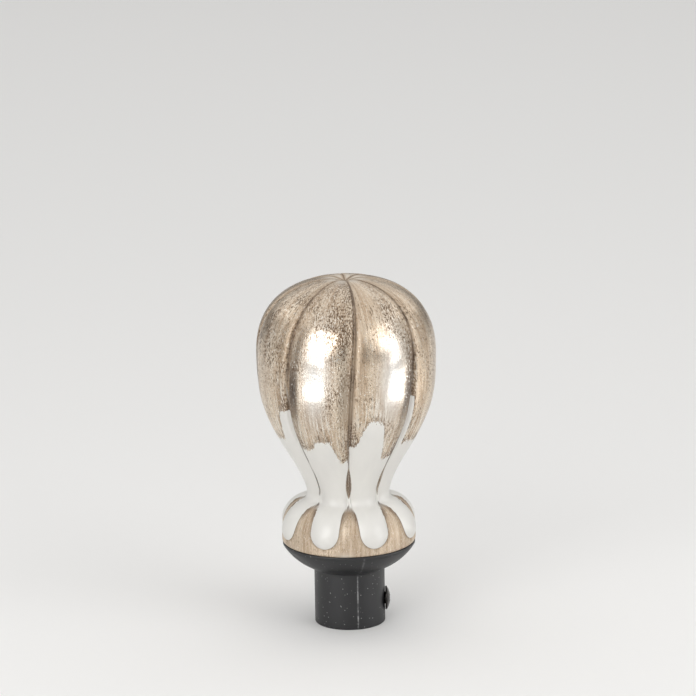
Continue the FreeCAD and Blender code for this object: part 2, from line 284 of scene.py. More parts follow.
def headStations(shape, crownHeight):
    # height, crest radius, base radius and half lobe width of each row from the seat to the crown
    sector = math.sin(math.pi / shape["lobes"])
    waistBase = shape["waistRadius"] - shape["waistFlute"]
    waistHalf = waistBase * sector - shape["waistGap"] / 2
    rows = shape["rows"]
    stations = []
    for step in range(rows["edge"]):
        angle = math.pi / 2 * step / rows["edge"]
        radius = shape["footRadius"] - shape["footEdge"] * (1 - math.sin(angle))
        stations.append((shape["footEdge"] * (1 - math.cos(angle)), radius, radius, 0))
    for step in range(rows["band"]):
        height = shape["footEdge"] + (shape["fingerTip"] - shape["footEdge"]) * step / rows["band"]
        stations.append((height, shape["footRadius"], shape["footRadius"], 0))
    reach = shape["waistHeight"] - shape["fingerTip"]
    draw = shape["footRadius"] - waistBase
    rise = shape["waistHeight"] - shape["footBand"]
    curve = (draw ** 2 + rise ** 2) / (2 * draw)
    for step in range(rows["fingers"]):
        drop = math.cos(math.pi / 2 * step / rows["fingers"])
        height = shape["waistHeight"] - reach * drop
        above = max(height - shape["footBand"], 0)
        base = shape["footRadius"] - curve + math.sqrt(curve ** 2 - above ** 2)
        spread = math.sin(math.pi / 2 * min(drop / shape["fingerSpread"], 1))
        along = max(drop - 1 + shape["fingerTipShare"], 0) / shape["fingerTipShare"]
        rounding = math.sqrt(max(1 - along ** 2, 0))
        half = (waistHalf + (shape["fingerWidth"] / 2 - waistHalf) * spread) * rounding
        stand = shape["waistFlute"] + (shape["fingerRise"] - shape["waistFlute"]) * spread
        stations.append((height, base + stand * rounding, base, half))
    for step in range(rows["bulb"]):
        drop = 1 - step / rows["bulb"]
        share = (1 + math.cos(math.pi * drop ** shape["waistDraw"])) / 2
        height = shape["bellyHeight"] - (shape["bellyHeight"] - shape["waistHeight"]) * drop
        crest = shape["waistRadius"] + (shape["bellyRadius"] - shape["waistRadius"]) * share
        base = crest - (shape["waistFlute"] + (shape["bellyFlute"] - shape["waistFlute"]) * share)
        gap = shape["waistGap"] + (shape["bellyGap"] - shape["waistGap"]) * share
        stations.append((height, crest, base, base * sector - gap / 2))
    dome = crownHeight - shape["bellyHeight"]
    for step in range(rows["shoulder"]):
        angle = math.pi / 2 * step / rows["shoulder"]
        across = math.cos(angle) ** (2 / shape["shoulderFullness"])
        up = math.sin(angle) ** (2 / shape["shoulderFullness"])
        crest, base = shape["bellyRadius"] * across, (shape["bellyRadius"] - shape["bellyFlute"]) * across
        stations.append((shape["bellyHeight"] + dome * up, crest, base,
                         base * sector - shape["bellyGap"] * across / 2))
    stations = np.array(stations)
    # round the hollow at the waist, on a curve that leaves both slopes smoothly
    corner = rows["edge"] + rows["band"] + rows["fingers"]
    travel = np.concatenate([[0], np.cumsum(np.hypot(*np.diff(stations[:, :2], axis=0).T))])
    inside = np.flatnonzero(np.abs(travel - travel[corner]) < shape["waistFillet"])
    first, last = inside[0], inside[-1]
    share = np.linspace(0, 1, len(inside))[:, None]
    stations[inside] = ((1 - share) ** 2 * stations[first] + 2 * share * (1 - share) * stations[corner]
                        + share ** 2 * stations[last])
    return stations


def coatMasks(shape, humps, lobe, across, height, edge, radius):
    # in mm: depth under the ragged line of the bare lacquer, distance inside a lobe's or finger's
    # edge and depth inside the bridges and slits; and from 0 to 1 the painted dark reflection beside
    # the creases, the specks, the rubbed silver and the painted highlights on the crown and foot's edge
    degrees = np.degrees(across)
    rubAngle, rubRise = shape["rubReach"]
    top, silver, specks, rub, slit = (np.zeros(len(across)) for mask in range(5))
    for number, hump in enumerate(humps):
        here = lobe == number
        offset = degrees[here] - hump["place"]
        sides = np.where(offset > 0, hump["right"], hump["left"])
        falls = [hump["width"] * share for share in shape["humpSide"]]
        top[here] = hump["top"] - sides * smoothStep(*falls, np.abs(offset))
        onRight = degrees[here] > 0
        # how strongly the dark reflection is painted beside the lobe's left and right crease
        silver[here] = np.where(onRight, hump["silver"][1], hump["silver"][0])
        specks[here] = np.where(onRight, hump["speck"][1], hump["speck"][0])
        rubPlace, rubStrength = hump["rub"]
        rub[here] = rubStrength * bell(degrees[here] - rubPlace, rubAngle)
        after = humps[(number + 1) % len(humps)]
        slit[here] = np.where(onRight, after["slit"], hump["slit"])
    edgeDistance = (edge - np.abs(across)[None, :]) * radius
    belowTip = np.maximum(shape["fingerTip"] - height, 0)
    edgeDistance = np.where(belowTip > 0, -np.hypot(edgeDistance, belowTip), edgeDistance)
    gapHalf = (math.pi / shape["lobes"] - edge) * radius
    toMiddle = np.maximum(gapHalf + edgeDistance, 0)
    closing = toMiddle * shape["bridgeSlope"] * smoothStep(*shape["bridgeFrom"], height)
    bridge = np.minimum(height - shape["bridgeLow"] + closing,
                        shape["bridgeHigh"] + toMiddle * shape["slitSlope"] - height)
    upSlit = np.clip((height - shape["slitFrom"]) / (shape["slitTo"] - shape["slitFrom"]), 0, 1)
    slitDepth = slit[None, :] * np.sin(math.pi * upSlit ** shape["slitLean"]) - toMiddle
    # painted dark reflection: a band beside each crease, strongest around one height
    inner, innerFull, outerFull, outer = shape["bandWidth"]
    band = smoothStep(inner, innerFull, edgeDistance) * (1 - smoothStep(outerFull, outer, edgeDistance))
    band = band * bell(height - shape["bandHeight"], shape["bandReach"]) * silver[None, :]
    humpDepth = top[None, :] - height + np.zeros_like(radius)
    aboveTip = height - shape["fingerTip"]
    humpDepth = np.where(aboveTip < 0, np.minimum(humpDepth, aboveTip), humpDepth)
    upper = smoothStep(shape["rubHeight"] - rubRise, shape["rubHeight"] + rubRise, height)
    speckle = specks[None, :] * (shape["speckLow"] + (1 - shape["speckLow"]) * upper)
    drips = (1 - smoothStep(*shape["dripEdge"], edgeDistance)) * smoothStep(*shape["dripRise"], humpDepth)
    speckle = np.maximum(speckle, shape["dripDense"] * drips * (height > shape["slitFrom"]))
    rubbed = rub[None, :] * bell(height - shape["rubHeight"], rubRise)
    # painted highlights: a pale patch on the foot's edge and pale petals on the lobes round the crown
    place, reach, high = shape["paleEdge"]
    turned = (lobe + 0.5) * 360 / shape["lobes"] + degrees - place
    footHighlightPatch = bell((turned + 180) % 360 - 180, reach)[None, :] * bell(height, high)
    petals = (1 - smoothStep(*shape["petals"], radius)) * smoothStep(*shape["petalEdge"], edgeDistance)
    return {"humpDepth": humpDepth, "edgeDistance": edgeDistance, "bridgeDepth": bridge,
            "slitDepth": slitDepth, "silverBand": band, "speckle": speckle, "rubbed": rubbed,
            "paleMarks": np.maximum(footHighlightPatch, petals)}


def buildHead(shape, humps, material):
    seat = headLow.z
    crownHeight = headHigh.z - seat
    stations = headStations(shape, crownHeight)
    height, crest, base, half = (stations[:, [k]] for k in range(4))
    perLobe, crowd = shape["columnsPerLobe"], shape["columnCrowd"]
    share = np.linspace(-1, 1, perLobe, endpoint=False)
    within = np.sin(share * crowd) / math.sin(crowd) * math.pi / shape["lobes"]
    lobe = np.repeat(np.arange(shape["lobes"]), perLobe)
    across = np.tile(within, shape["lobes"])
    climb = np.clip((height - shape["waistHeight"]) / (crownHeight - shape["waistHeight"]), 0, 1)
    front = -math.pi / 2 + shape["footTurn"] + shape["twist"] * climb ** 2
    around = front + (lobe + 0.5) * 2 * math.pi / shape["lobes"] + across
    flat = smoothStep(shape["archFrom"], shape["archTo"], height)
    radius, edge = lobeSection(across[None, :], crest, base, half, flat, shape)
    masks = coatMasks(shape, humps, lobe, across, height, edge, radius)
    bridge, edgeDistance = masks["bridgeDepth"], masks["edgeDistance"]
    raised = shape["bridgeRise"] * smoothStep(*shape["bridgeBlend"], bridge)
    radius = np.minimum(radius + np.where(edgeDistance <= 0, raised, 0), crest)
    # the brushed coat lies a little deeper
    bare = np.maximum(np.minimum(masks["humpDepth"], edgeDistance), bridge)
    coated = 1 - smoothStep(-shape["patinaEdge"], shape["patinaEdge"], bare)
    radius = radius - shape["patinaSink"] * coated * smoothStep(0, shape["patinaCrown"], radius)
    z = height + np.zeros_like(radius)
    z = z - shape["crownDip"] * bell(radius, shape["crownDipReach"]) * (height > shape["bellyHeight"])
    points = np.stack([radius * np.cos(around), radius * np.sin(around), z + seat], axis=-1)
    rows, columns = radius.shape
    flatPoints = points.reshape(-1, 3)
    # mm round and along the profile, for marks that run with the brush
    steps = np.hypot(np.diff(crest[:, 0]), np.diff(height[:, 0]))
    along = np.concatenate([[0], np.cumsum(steps)])[:, None] + np.zeros_like(radius)
    girth = shape["bellyRadius"]
    flow = np.stack([girth * np.cos(around), girth * np.sin(around), along], axis=-1)
    # slow waviness, inwards only
    for index, point in enumerate(flatPoints):
        wave = noise.noise(Vector(point) / shape["wavinessSize"])
        inwards = shape["waviness"] * (wave - 1) / 2
        reach = math.hypot(point[0], point[1])
        if reach > shape["crownDipReach"]:
            flatPoints[index, :2] *= 1 + inwards / reach
    # close the underside with the recess and the screw hole, and the crown with a point
    hole, holeTop = shape["screwHole"], fixingHigh.z
    recess, recessTop = shape["recess"], socketHigh.z + shape["recessRoom"]
    under = [(hole, holeTop), (hole, recessTop), (recess, recessTop), (recess, seat)]
    underPoints = [(r * math.cos(a), r * math.sin(a), h) for r, h in under for a in around[0]]
    count = len(under)
    ends = [[0, 0, holeTop], [0, 0, headHigh.z - shape["crownDip"]]]
    allPoints = np.concatenate([np.array(underPoints), flatPoints, ends])
    faces = ringFaces(rows + count, columns)
    low, high = len(allPoints) - 2, len(allPoints) - 1
    lastRow = (rows + count - 1) * columns
    for column in range(columns):
        after = (column + 1) % columns
        faces.append((after, column, low))
        faces.append((lastRow + column, lastRow + after, high))

    def spread(values, fill):
        # values for all points: filled underneath, and at the crown's point as in the last row
        values = values.reshape(rows * columns, -1)
        start = np.full((count * columns, values.shape[1]), fill)
        end = np.concatenate([np.full((1, values.shape[1]), fill), values[-1:]])
        made = np.concatenate([start, values, end])
        return made if made.shape[1] > 1 else made[:, 0]

    fills = dict.fromkeys(("humpDepth", "bridgeDepth", "slitDepth"), -shape["maskUnder"])
    fills["edgeDistance"] = shape["maskUnder"]
    attributes = {key: spread(values, fills.get(key, 0.0)) for key, values in masks.items()}
    attributes["brushFlow"] = spread(flow, 0.0)
    head = addPiece("finialHead", allPoints, faces, material, "finial_head", attributes)
    print("finial head", len(head.data.polygons), "faces")


# Antiqued lacquer on cast resin: white lacquer, then a champagne silver coat brushed along the lobes
# and partly wiped off. The eye gets streaks and specks that follow the brush, a metallic gloss,
# brown in the creases and plain white where no coat was brushed on.
# Beside some creases a dark reflection is painted into the coat, and highlights are painted on the crown
# and on the foot's edge.
lacquerLook = {
    "white": "#ECEAE4",
    "whiteShade": "#E0DEDA",
    "champagne": "#B89F84",
    "champagnePale": "#E4D3BC",
    "silver": "#DAD8D4",
    # painted dark reflection beside the creases
    "darkSilver": "#48403B",
    "brownSpeck": "#5E4A38",
    # pale specks, and also the colour of the painted highlights on the crown and the foot's edge
    "paleSpeck": "#F0EBE1",
    "creaseBrown": "#4E3B2C",
    "glaze": "#7D6851",
    "masks": ("humpDepth", "edgeDistance", "bridgeDepth", "slitDepth", "silverBand", "speckle",
              "rubbed", "paleMarks"),
    "patterns": {                       # mm across the brush and along it, and detail of the noise
        "broad": (3.0, 34.0, 3.0),
        "fine": (0.6, 8.0, 3.0),
        "speck": (0.42, 0.84, 2.0),     # real specks are about 0.2 and drawn coarser to show
        "mottle": (7.0, 11.2, 3.0),
        "rag": (1.3, 2.34, 4.0),        # raggedness of the coat's lower edge
    },
    "patternRough": 0.62,
    # Steps take masks, patterns, numbers and earlier steps. One that starts with capitals works
    # out that operation; any other maps its source from the first two values to the last two.
    "steps": {
        "onFoot": ("along", 19.5, 16.5, 0, 1),      # mm along the profile, where the foot ends
        "aboveFoot": ("SUBTRACT", 1, "onFoot"),
        # streaks of pale champagne, rubbed to silver on the bellies of the lobes
        "streaks": ("ADD", "broad", "fine"),
        "streakShare": ("streaks", 0.78, 1.2, 0, 1),
        "rubPart": ("fine", 0.35, 0.6, 0.8, 1),
        "rubShare": ("MULTIPLY", "rubbed", "rubPart"),
        # painted dark reflection beside the creases, put into the coat's colour
        "bandPart": ("fine", 0.35, 0.62, 0.85, 1),
        "bandShare": ("MULTIPLY", "silverBand", "bandPart"),
        # brown specks where the noise is above a line that moves with the slow mottle, denser on
        # some lobes, paler on the foot and few where the coat is rubbed
        "speckLine": ("mottle", 0.36, 0.64, 0.55, 0.66),
        "denser": ("MULTIPLY_ADD", "speckle", 0.1, "speck"),
        "speckAbove": ("SUBTRACT", "denser", "speckLine"),
        "brownPart": ("onFoot", 0, 1, 0.9, 0.4),
        "brownShare": ("speckAbove", 0, 0.06, 0, "brownPart"),
        "unrubbed": ("rubbed", 0.25, 0.75, 1, 0.12),
        "speckShare": ("MULTIPLY", "brownShare", "unrubbed"),
        # pale specks, painted highlights on the crown and the foot's edge, and pale streaks low on the
        # lobes
        "thinner": ("MULTIPLY_ADD", "speckle", -0.04, "speck"),
        "paleSpecks": ("thinner", 0.39, 0.31, 0, 0.85),
        "markPart": ("speck", 0.38, 0.6, 0.25, 0.9),
        "markShare": ("MULTIPLY", "paleMarks", "markPart"),
        "nearLow": ("humpDepth", -15, -6, 0, 1),
        "lowPart": ("fine", 0.5, 0.64, 0, 0.8),
        "lowLobe": ("MULTIPLY", "nearLow", "aboveFoot"),
        "lowShare": ("MULTIPLY", "lowLobe", "lowPart"),
        "marksOrStreaks": ("MAXIMUM", "markShare", "lowShare"),
        "paleShare": ("MAXIMUM", "paleSpecks", "marksOrStreaks"),
        # mm from a crease, or from a finger's edge in the foot's gaps, where the coat is glazed
        "gapFactor": ("onFoot", 0, 1, -0.4, -1.6),
        "gapSize": ("MULTIPLY", "edgeDistance", "gapFactor"),
        "edgeSize": ("MAXIMUM", "edgeDistance", "gapSize"),
        "nearCrease": ("edgeSize", 2.6, 0, 0, 1),
        "creaseGlaze": ("MULTIPLY", "nearCrease", 0.38),
        "glazeShare": ("MULTIPLY_ADD", "onFoot", 0.18, "creaseGlaze"),
        # brown in the creases, wiped off in places, and at the points of the foot's gaps
        "creaseReach": ("fine", 0.35, 0.65, 0.15, 0.45),
        "creaseFull": ("edgeSize", 0, "creaseReach", 0.9, 0),
        "wiped": ("mottle", 0.35, 0.6, 1, 0.5),
        "creaseLeft": ("MULTIPLY", "creaseFull", "wiped"),
        "apex": ("bridgeDepth", -3, 0, 0, 0.6),
        "apexOnFoot": ("MULTIPLY", "apex", "onFoot"),
        "creaseShare": ("MAXIMUM", "creaseLeft", "apexOnFoot"),
        # the ragged line where the coat ends, darker in specks where the brush left it thick
        "ragged": ("rag", 0, 1, -2.2, 2.2),
        "speckled": ("speck", 0, 1, -1.6, 1.6),
        "bothRags": ("ADD", "ragged", "speckled"),
        "humpLine": ("ADD", "humpDepth", "bothRags"),
        "lineSize": ("ABSOLUTE", "humpLine"),
        "nearLine": ("lineSize", 0, 2.6, 0.95, 0),
        "thick": ("speck", 0.45, 0.56, 0, 1),
        "rimPart": ("MULTIPLY", "nearLine", "thick"),
        "rimShare": ("MULTIPLY", "rimPart", "aboveFoot"),
        # bare lacquer under that line: lobes, fingers and the creases between them, but not the
        # foot's gaps and the slits; and the bridges
        "underLine": ("humpLine", -0.1, 0.15, 0, 1),
        "onLobe": ("edgeDistance", 0, 0.15, 0, 1),
        "lobeOrCrease": ("MAXIMUM", "onLobe", "aboveFoot"),
        "offSlit": ("slitDepth", 0, 0.2, 1, 0),
        "openPart": ("MULTIPLY", "lobeOrCrease", "offSlit"),
        "underPart": ("MULTIPLY", "underLine", "openPart"),
        "onBridge": ("bridgeDepth", 0, 0.2, 0, 1),
        "bare": ("MAXIMUM", "underPart", "onBridge"),
        # a broken brown line is left in the white creases
        "creaseFloor": ("edgeDistance", -0.05, -0.3, 0, 1),
        "leftBrown": ("fine", 0.4, 0.56, 0.1, 0.9),
        "lineLeft": ("MULTIPLY", "creaseFloor", "leftBrown"),
        "offBridge": ("bridgeDepth", -0.6, 0, 1, 0),
        "lineShare": ("MULTIPLY", "lineLeft", "offBridge"),
        # metallic gloss on the coat, thinner and duller on the foot and under the glaze
        "coatPart": ("SUBTRACT", 1, "bare"),
        "coatMetal": ("onFoot", 0, 1, 0.72, 0.3),
        "shiny": ("nearCrease", 0, 1, 1, 0.4),
        "coatShine": ("MULTIPLY", "coatMetal", "shiny"),
        "metal": ("MULTIPLY", "coatPart", "coatShine"),
        "speckRough": ("speck", 0.3, 0.7, 0.2, 0.4),
        "rubGloss": ("rubbed", 0, 1, 1, 0.4),
        "rubRough": ("MULTIPLY", "speckRough", "rubGloss"),
        "footRough": ("MULTIPLY_ADD", "onFoot", 0.16, "rubRough"),
        "coatRough": ("MULTIPLY_ADD", "nearCrease", 0.4, "footRough"),
        # relief of the brush marks and specks
        "marks": ("ADD", "fine", "speck"),
        "coatMarks": ("MULTIPLY", "marks", "metal"),
    },
    # among these layers are a painted dark reflection beside the creases, and painted highlights laid on
    # with the pale specks
    "layers": (("rubShare", "silver"), ("bandShare", "darkSilver"), ("speckShare", "brownSpeck"),
               ("paleShare", "paleSpeck"), ("glazeShare", "glaze"), ("creaseShare", "creaseBrown"),
               ("rimShare", "brownSpeck")),
    "whiteRough": 0.38,
    "markHeight": 0.07,                 # mm
    "markStrength": 0.6,
    "ior": 1.5,
}


def antiquedLacquer(look):
    material, add = newMaterial("antiqued lacquer on cast resin")
    flow = add("Attribute", attribute_name="brushFlow").outputs["Vector"]
    part = {key: add("Attribute", attribute_name=key).outputs["Fac"] for key in look["masks"]}
    part["along"] = add("SeparateXYZ", {0: flow}).outputs["Z"]
    for key, (size, length, detail) in look["patterns"].items():
        stretched = add("VectorMath", {0: flow, 1: (1, 1, size / length)}, operation="MULTIPLY")
        part[key] = add("TexNoise", {"Vector": stretched, "Scale": 1 / size, "Detail": detail,
                                     "Roughness": look["patternRough"]})
    for key, step in look["steps"].items():
        operates = step[0].isupper()
        inputs = {place: part.get(value, value) for place, value in enumerate(step[operates:])}
        part[key] = add("Math", inputs, operation=step[0]) if operates else add("MapRange", inputs)
    # in a colour mix, socket 0 is the share and 6 and 7 are the colours
    coat = add("Mix", {0: part["streakShare"], 6: look["champagne"], 7: look["champagnePale"]},
               data_type="RGBA")
    for share, shade in look["layers"]:
        coat = add("Mix", {0: part[share], 6: coat, 7: look[shade]}, data_type="RGBA")
    white = add("Mix", {0: part["mottle"], 6: look["white"], 7: look["whiteShade"]}, data_type="RGBA")
    lined = add("Mix", {0: part["lineShare"], 6: white, 7: look["creaseBrown"]}, data_type="RGBA")
    colour = add("Mix", {0: part["bare"], 6: coat, 7: lined}, data_type="RGBA")
    rough = add("Mix", {0: part["bare"], 2: part["coatRough"], 3: look["whiteRough"]}, data_type="FLOAT")
    bump = add("Bump", {"Height": part["coatMarks"], "Strength": look["markStrength"],
                        "Distance": look["markHeight"] * mm})
    shader = add("BsdfPrincipled", {"Base Color": colour, "Metallic": part["metal"], "Roughness": rough,
                                    "Normal": bump, "IOR": look["ior"]})
    add("OutputMaterial", {"Surface": shader})
    return material


buildHead(headShape, lacquerHumps, antiquedLacquer(lacquerLook))


# Pole socket

socketShape = {
    "leadIn": 0.6,
    "wall": 1.8,
    "floor": 20.0,
    "floorTop": 22.8,
    "bowlDrop": 1.2,
    "bowlEdge": 0.8,
    "bowlCurve": 19.0,
    "bowlWall": 2.0,
    "boss": 5.4,
    "hole": 2.05,
    "sink": 4.25,
    "sinkTop": 22.1,
    "fillets": {"mouth": 0.1, "end": 0.3, "neck": 0.7, "rim": 0.25, "inside": 0.2, "floor": 0.3},
    "columns": 160,
    "wallRows": 16,
    "bowlRows": (14, 8),                # outside and inside
    "partingAt": math.radians(-77),     # 13 degrees right of the front, and opposite
    "partingWidth": 0.16,
    "partingRise": 0.12,
    "partingOnBowl": 0.3,               # hardly any flash is left on the bowl
    "partingBowlDrop": 0.7,             # share of its rise there, where it stands downwards
    "partingFrom": 0.5,                 # above the end
    "partingFade": 0.8,                 # below the bowl
    "partingOffsets": (-0.6, -0.32, -0.18, -0.08, 0.0, 0.08, 0.18, 0.32, 0.6),
    "partingRoom": 0.01,                # radians kept free of other columns beside those
    "slack": (0.05, 0.1),               # mm, to tell the wall's points from others
    "screwHole": 2.05,
    "drillLength": 10.0,
    "drillSides": 48,
}


def buildSocket(shape, material):
    outside = boreRadius + shape["wall"]
    rim = socketHigh.x
    seat = headLow.z
    edgeBase = seat - shape["bowlEdge"]
    innerRim = rim - shape["bowlWall"]
    bowlStart = (outside, shape["floor"] - shape["bowlDrop"])
    fillet = shape["fillets"]
    outerRows, innerRows = shape["bowlRows"]
    corners = [(boreRadius, shape["leadIn"]), (boreRadius + shape["leadIn"], 0, fillet["mouth"]),
               (outside, 0, fillet["end"])]
    corners += [(outside, h) for h in np.linspace(1, bowlStart[1] - 1, shape["wallRows"])]
    corners += [(*bowlStart, fillet["neck"])]
    corners += arcBetween(bowlStart, (rim, edgeBase), shape["bowlCurve"], 1, outerRows)
    corners += [(rim, edgeBase), (rim, seat, fillet["rim"]), (innerRim, seat, fillet["inside"]),
                (innerRim, edgeBase)]
    corners += arcBetween((innerRim, edgeBase), (outside, shape["floorTop"]), shape["bowlCurve"], -1,
                          innerRows)
    corners += [(outside, shape["floorTop"]), (shape["boss"], shape["floorTop"]),
                (shape["boss"], socketHigh.z, fillet["inside"]), (shape["hole"], socketHigh.z),
                (shape["hole"], shape["sinkTop"]), (shape["sink"], shape["floor"]),
                (boreRadius, shape["floor"], fillet["floor"])]
    path = np.array(filletCorners(corners))
    around = 2 * math.pi
    even = [around * step / shape["columns"] for step in range(shape["columns"])]
    lines = [shape["partingAt"] % around, (shape["partingAt"] + math.pi) % around]
    keepOff = max(shape["partingOffsets"]) / outside + shape["partingRoom"]
    angles = [a for a in even if all(abs(math.remainder(a - line, around)) > keepOff for line in lines)]
    angles += [(line + offset / outside) % around for line in lines for offset in shape["partingOffsets"]]
    angles = np.array(sorted(angles))
    radius = path[:, [0]] + np.zeros(len(angles))
    height = path[:, [1]] + np.zeros(len(angles))
    # the mould's flash stands along both parting lines, on the outside only
    offset = np.min([np.abs((angles - line + math.pi) % around - math.pi) for line in lines], axis=0)
    flash = bell(offset * outside, shape["partingWidth"])[None, :] + np.zeros_like(radius)
    inwards, outwards = shape["slack"]
    shows = (radius > outside - inwards) & (height > shape["partingFrom"]) & (height < edgeBase + outwards)
    fades = np.where(height > bowlStart[1] - shape["partingFade"], shape["partingOnBowl"], 1)
    flash = np.where(shows, flash, 0) * fades
    onBowl = radius > outside + outwards
    radius = np.where(onBowl, radius, radius + shape["partingRise"] * flash)
    height = height - onBowl * shape["partingRise"] * flash * shape["partingBowlDrop"]
    points = np.stack([radius * np.cos(angles), radius * np.sin(angles), height], axis=-1).reshape(-1, 3)
    faces = ringFaces(len(path), len(angles), loop=True)
    socket = addPiece("poleSocket", points, faces, material, "pole_socket",
                      {"flash": np.ravel(flash)})
    # the grip screw's hole
    drill = bpy.data.meshes.new("drill")
    tool = bmesh.new()
    place = Matrix.Translation((outside * mm, 0, (gripLow.z + gripHigh.z) / 2 * mm))
    bmesh.ops.create_cone(tool, cap_ends=True, segments=shape["drillSides"],
                          radius1=shape["screwHole"] * mm, radius2=shape["screwHole"] * mm,
                          depth=shape["drillLength"] * mm,
                          matrix=place @ Matrix.Rotation(math.pi / 2, 4, "Y"))
    tool.to_mesh(drill)
    tool.free()
    cutter = bpy.data.objects.new("drill", drill)
    bpy.context.scene.collection.objects.link(cutter)
    cutWith(socket, cutter)
    print("pole socket", len(socket.data.polygons), "faces")


# Moulded ABS, coloured black in the mass: a satin skin from the tool, pale dust specks and fine
# handling scratches, and a thin flash line that catches the light.
absLook = {
    "black": "#151517",
    "blackWorn": "#222224",
    "scratch": "#8A8A8C",
    "flash": "#A6A6A6",
    "dust": "#A9A9A6",
    "skin": (0.35, 2.0),        # mm and detail of the noise: the eroded texture of the tool
    "mottle": (9.0, 4.0),
    "breaks": (1.6, 3.0),       # where the flash line is broken
    "dustSpacing": 1.5,
    "scratchSpacing": 3.0,
    "scratchStretch": 0.12,
    "scratchTilt": (0.5, 0.7, 0.9),
    "rough": (0.36, 0.5),
    "skinHeight": 0.02,
    "skinStrength": 0.35,
    "ior": 1.53,
}


def mouldedAbs(look):
    material, add = newMaterial("moulded black ABS")
    inMm = add("VectorMath", {0: add("TexCoord").outputs["Object"], "Scale": 1 / mm}, operation="SCALE")
    skin, mottle, patchy = (add("TexNoise", {"Vector": inMm, "Scale": 1 / size, "Detail": detail})
                            for size, detail in (look["skin"], look["mottle"], look["breaks"]))
    dust = add("TexVoronoi", {"Vector": inMm, "Scale": 1 / look["dustSpacing"]})
    tilted = add("Mapping", {"Vector": inMm, "Rotation": look["scratchTilt"],
                             "Scale": (1, look["scratchStretch"], 1)})
    scratch = add("TexVoronoi", {"Vector": tilted, "Scale": 1 / look["scratchSpacing"]})
    scratchShare = add("MapRange", {"Value": scratch, "From Min": 0.07, "From Max": 0.03, "To Max": 0.6})
    dustShare = add("MapRange", {"Value": dust, "From Min": 0.14, "From Max": 0.07, "To Max": 0.6})
    breaks = add("MapRange", {"Value": patchy, "From Min": 0.4, "From Max": 0.6, "To Min": 0.2})
    flash = add("Attribute", attribute_name="flash").outputs["Fac"]
    flashShare = add("Math", {0: flash, 1: breaks}, operation="MULTIPLY")
    colour = add("Mix", {0: mottle, 6: look["black"], 7: look["blackWorn"]}, data_type="RGBA")
    for share, shade in ((scratchShare, "scratch"), (dustShare, "dust"), (flashShare, "flash")):
        colour = add("Mix", {0: share, 6: colour, 7: look[shade]}, data_type="RGBA")
    rough = add("MapRange", {"Value": mottle, "From Min": 0.3, "From Max": 0.7,
                             "To Min": look["rough"][0], "To Max": look["rough"][1]})
    bump = add("Bump", {"Height": skin, "Strength": look["skinStrength"],
                        "Distance": look["skinHeight"] * mm})
    shader = add("BsdfPrincipled", {"Base Color": colour, "Roughness": rough, "Normal": bump,
                                    "IOR": look["ior"], "Metallic": 0.0})
    add("OutputMaterial", {"Surface": shader})
    return material


buildSocket(socketShape, mouldedAbs(absLook))


# Screws

threadShape = {
    "runIn": 0.4,           # mm over which a thread starts and ends
    "runOut": 0.2,
    "deepest": 0.8,         # share of the radius, at the point
}
gripShape = {
    "standOff": 0.1,
    "headEdge": 0.5,
    "headChamfer": 0.15,
    "shank": 2.0,
    "shankRows": 24,
    "domeRows": 14,
    "threadDepth": 0.28,
    "pitch": 0.7,
    "pointChamfer": 0.3,
    "columns": 64,
    "slotLength": 4.4,
    "slotWidth": 0.95,
    "slotDepth": 1.3,
    "slotTaper": 0.7,
    "slotDraft": 0.8,
    "slotTurn": math.radians(24),
}
fixingShape = {
    "shank": 2.0,
    "shankRows": 130,
    "headHeight": 2.1,
    "headChamfer": (0.2, 0.12),
    "point": 4.0,
    "pointRows": 20,
    "pointEnd": 0.97,       # share of the point, which is a little blunt
    "threadDepth": 0.45,
    "pitch": 1.7,
    "plainShank": 7.0,
    "columns": 48,
    "slotLength": 4.6,
    "slotWidth": 1.0,
    "slotDepth": 1.3,
    "slotTaper": 0.45,
    "slotDraft": 0.8,
}


def turnedScrew(path, threaded, shape):
    # grid of a turned profile along +Z; threaded is the height range that carries the thread
    path = np.array(path)
    angles = np.arange(shape["columns"]) * 2 * math.pi / shape["columns"]
    radius = path[:, [0]] + np.zeros(len(angles))
    height = path[:, [1]] + np.zeros(len(angles))
    turnShare = height / shape["pitch"] - angles / (2 * math.pi)
    groove = np.abs((turnShare % 1) * 2 - 1)
    first, last = threaded
    inThread = smoothStep(first, first + threadShape["runIn"], height)
    inThread = inThread * (1 - smoothStep(last - threadShape["runOut"], last, height))
    radius = radius - np.minimum(shape["threadDepth"] * groove * inThread, radius * threadShape["deepest"])
    points = np.stack([radius * np.cos(angles), radius * np.sin(angles), height], axis=-1).reshape(-1, 3)
    points = np.concatenate([points, [[0, 0, path[0, 1]], [0, 0, path[-1, 1]]]])
    rows, columns = radius.shape
    faces = ringFaces(rows, columns)
    lastRow = (rows - 1) * columns
    for column in range(columns):
        after = (column + 1) % columns
        faces.append((after, column, rows * columns))
        faces.append((lastRow + column, lastRow + after, rows * columns + 1))
    return points, faces


def cutCross(screw, shape, top, place):
    # cross recess: two tapered bars, sunk from the given height one after the other
    for quarter in (0, math.pi / 2):
        mesh = bpy.data.meshes.new("bar")
        tool = bmesh.new()
        bmesh.ops.create_cube(tool, size=1.0)
        for vert in tool.verts:
            deep = vert.co.z < 0
            vert.co.x *= shape["slotLength"] * (shape["slotTaper"] if deep else 1)
            vert.co.y *= shape["slotWidth"] * (shape["slotDraft"] if deep else 1)
            vert.co.z = top - shape["slotDepth"] if deep else top + shape["slotDepth"]
        toScene = Matrix.Scale(mm, 4) @ place @ Matrix.Rotation(quarter, 4, "Z")
        bmesh.ops.transform(tool, verts=tool.verts, matrix=toScene)
        tool.to_mesh(mesh)
        tool.free()
        bar = bpy.data.objects.new("bar", mesh)
        bpy.context.scene.collection.objects.link(bar)
        cutWith(screw, bar)


